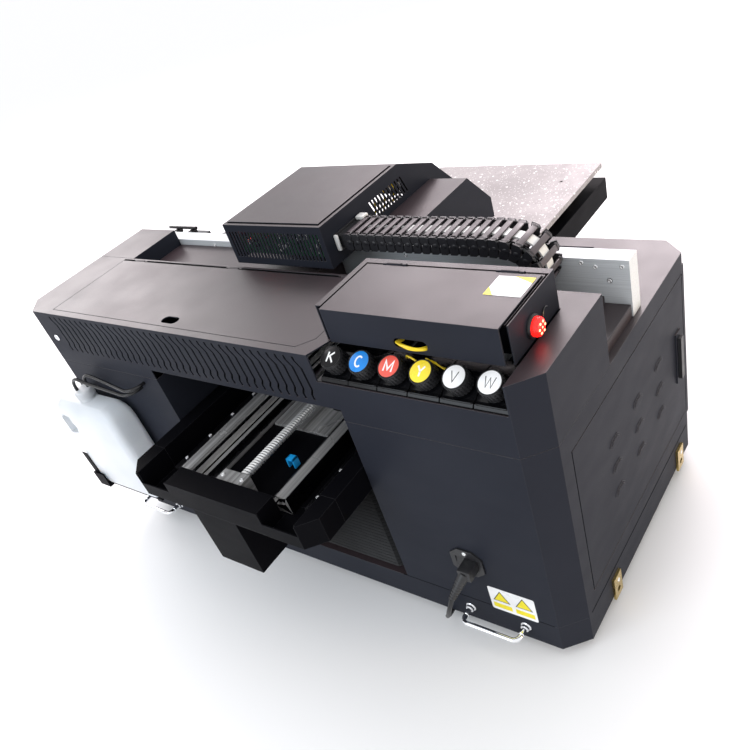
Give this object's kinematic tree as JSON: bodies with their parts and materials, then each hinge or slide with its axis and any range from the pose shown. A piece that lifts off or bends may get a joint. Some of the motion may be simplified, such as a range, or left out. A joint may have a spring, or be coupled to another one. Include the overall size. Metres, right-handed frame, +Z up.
{
  "type": "flatbed uv printer",
  "caption": "Bench flatbed printer: black steel cabinet, moving table on a lifting trough, hooded cross carriage with drag chain, tilted ink caps, waste can.",
  "frame": {"origin": "on the floor under the middle of the machine's box, without the mains lead", "axes": "+Z up, +Y from the front to the back along the table's travel, +X to the right along the gantry"},
  "size_m": [1.0125, 1.033, 0.5685],
  "materials": {
    "cabinet_paint": "fine textured matt black powder coat",
    "trough_paint": "satin black powder coat",
    "aluminium": "drawn, fine lengthwise lines",
    "table_top": "blasted grey plate with pale specks",
    "steel": "ground",
    "rail_steel": "black oxide with bright edges",
    "screw_steel": "ground thread",
    "chrome": "polished",
    "zinc": "yellow zinc plate",
    "foot_rubber": "matt",
    "bellows_rubber": "matt pleated cloth",
    "bottle_plastic": "glossy moulded",
    "cap_plastic": "semi-gloss ribbed",
    "lamp_red": "lit red lamps",
    "inlet_plastic": "satin moulded",
    "can_plastic": "cloudy white translucent",
    "hose_rubber": "smooth black",
    "board": "electronics and their plates",
    "cap_station": "moulded",
    "chain_plastic": "moulded nylon",
    "head_metal": "print heads with their plates",
    "cord_rubber": "smooth black"
  },
  "bodies": {
    "base": {"plinth": "cabinet_paint", "feet": "foot_rubber", "left_pedestal": "cabinet_paint", "right_pedestal": "cabinet_paint", "rear_deck": "cabinet_paint", "front_cover": "cabinet_paint", "rear_left_cover": "cabinet_paint", "recess_tray": "cabinet_paint", "gantry_beam": "aluminium", "gantry_rail": "steel", "ink_housing": "cabinet_paint", "ink_bottles": "bottle_plastic", "alarm_lamp": "lamp_red", "hinge_pins": "steel", "front_handles": "chrome", "mounting_lugs": "zinc", "power_inlet": "inlet_plastic", "waste_can": "can_plastic", "can_bracket": "cabinet_paint", "waste_hoses": "hose_rubber", "lift_bellows": "bellows_rubber", "guide_sleeves": "steel", "electronics": "board", "capping_station": "cap_station", "stepper_motors": "cap_station", "chain_lower": "chain_plastic", "c13_connector": "cord_rubber", "power_cord": "cord_rubber", "cord_coil": "cord_rubber", "mains_plug": "cord_rubber"},
    "service_lid": {"service_lid": "cabinet_paint"},
    "ink_lid": {"ink_lid": "cabinet_paint"},
    "side_door": {"side_door": "cabinet_paint"},
    "door_lever": {"door_lever": "inlet_plastic"},
    "rocker": {"rocker_switch": "inlet_plastic"},
    "carriage": {"carriage_hood": "cabinet_paint", "hood_panel": "cabinet_paint", "carriage_plate": "aluminium", "print_heads": "head_metal", "uv_lamp": "cabinet_paint", "chain_clamp": "chain_plastic", "chain_upper": "chain_plastic"},
    "chain_bend": {"chain_bend": "chain_plastic"},
    "lift": {"trough": "trough_paint", "trough_wings": "trough_paint", "y_motor_cover": "trough_paint", "y_profiles": "aluminium", "y_rails": "rail_steel", "screw_blocks": "aluminium", "guide_rods": "steel"},
    "ball_screw": {"ball_screw": "screw_steel"},
    "table": {"table_plate": "table_top", "table_blocks": "aluminium"},
    "lift_screw": {"lift_screw": "steel"},
    "ink_cap_1": {"ink_cap_1": "cap_plastic"},
    "ink_cap_2": {"ink_cap_2": "cap_plastic"},
    "ink_cap_3": {"ink_cap_3": "cap_plastic"},
    "ink_cap_4": {"ink_cap_4": "cap_plastic"},
    "ink_cap_5": {"ink_cap_5": "cap_plastic"},
    "ink_cap_6": {"ink_cap_6": "cap_plastic"}
  },
  "joints": [
    {"name": "carriage_slide", "type": "slide", "parent": "base", "child": "carriage", "axis": [1, 0, 0], "range_m": [-0.26, 0.11], "deforming": ["chain_upper"]},
    {"name": "chain_roll", "type": "slide", "parent": "base", "child": "chain_bend", "axis": [1, 0, 0], "range_m": [-0.131, 0.056], "deforming": ["chain_lower"]},
    {"name": "lift_slide", "type": "slide", "parent": "base", "child": "lift", "axis": [0, 0, 1], "range_m": [-0.1, 0.005], "deforming": ["lift_bellows"]},
    {"name": "lift_screw_spin", "type": "hinge", "parent": "base", "child": "lift_screw", "pos_m": [0.0065, -0.135, 0.082], "axis": [0, 0, 1], "range_deg": [-7260, 420]},
    {"name": "table_slide", "type": "slide", "parent": "lift", "child": "table", "axis": [0, 1, 0], "range_m": [-0.4, 0]},
    {"name": "ball_screw_spin", "type": "hinge", "parent": "lift", "child": "ball_screw", "pos_m": [0.0065, 0.015, 0.29], "axis": [0, 1, 0], "range_deg": [-14460, 60]},
    {"name": "service_lid_hinge", "type": "hinge", "parent": "base", "child": "service_lid", "pos_m": [-0.122, -0.2042, 0.5015], "axis": [-1, 0, 0], "range_deg": [0, 85]},
    {"name": "ink_lid_hinge", "type": "hinge", "parent": "base", "child": "ink_lid", "pos_m": [0.332, -0.2465, 0.5552], "axis": [-1, 0, 0], "range_deg": [0, 80]},
    {"name": "side_door_hinge", "type": "hinge", "parent": "base", "child": "side_door", "pos_m": [0.494, -0.319, 0.235], "axis": [0, 0, -1], "range_deg": [0, 100]},
    {"name": "door_lever_turn", "type": "hinge", "parent": "side_door", "child": "door_lever", "pos_m": [0.5, 0.045, 0.27], "axis": [-1, 0, 0], "range_deg": [0, 90]},
    {"name": "rocker_tilt", "type": "hinge", "parent": "base", "child": "rocker", "pos_m": [0.33, -0.383, 0.165], "axis": [1, 0, 0], "range_deg": [0, 12]},
    {"name": "ink_cap_1_turn", "type": "hinge", "parent": "base", "child": "ink_cap_1", "pos_m": [0.2138, -0.3725, 0.495], "axis": [0, -0.5, 0.866], "continuous": true},
    {"name": "ink_cap_2_turn", "type": "hinge", "parent": "base", "child": "ink_cap_2", "pos_m": [0.2594, -0.3725, 0.495], "axis": [0, -0.5, 0.866], "continuous": true},
    {"name": "ink_cap_3_turn", "type": "hinge", "parent": "base", "child": "ink_cap_3", "pos_m": [0.305, -0.3725, 0.495], "axis": [0, -0.5, 0.866], "continuous": true},
    {"name": "ink_cap_4_turn", "type": "hinge", "parent": "base", "child": "ink_cap_4", "pos_m": [0.3506, -0.3725, 0.495], "axis": [0, -0.5, 0.866], "continuous": true},
    {"name": "ink_cap_5_turn", "type": "hinge", "parent": "base", "child": "ink_cap_5", "pos_m": [0.3962, -0.3725, 0.495], "axis": [0, -0.5, 0.866], "continuous": true},
    {"name": "ink_cap_6_turn", "type": "hinge", "parent": "base", "child": "ink_cap_6", "pos_m": [0.4418, -0.3725, 0.495], "axis": [0, -0.5, 0.866], "continuous": true}
  ],
  "couplings": [
    {"joint": "chain_roll", "follows": "carriage_slide", "ratio": 0.5},
    {"joint": "lift_screw_spin", "follows": "lift_slide", "rad_per_m": 1256.6},
    {"joint": "ball_screw_spin", "follows": "table_slide", "rad_per_m": 628.32}
  ]
}
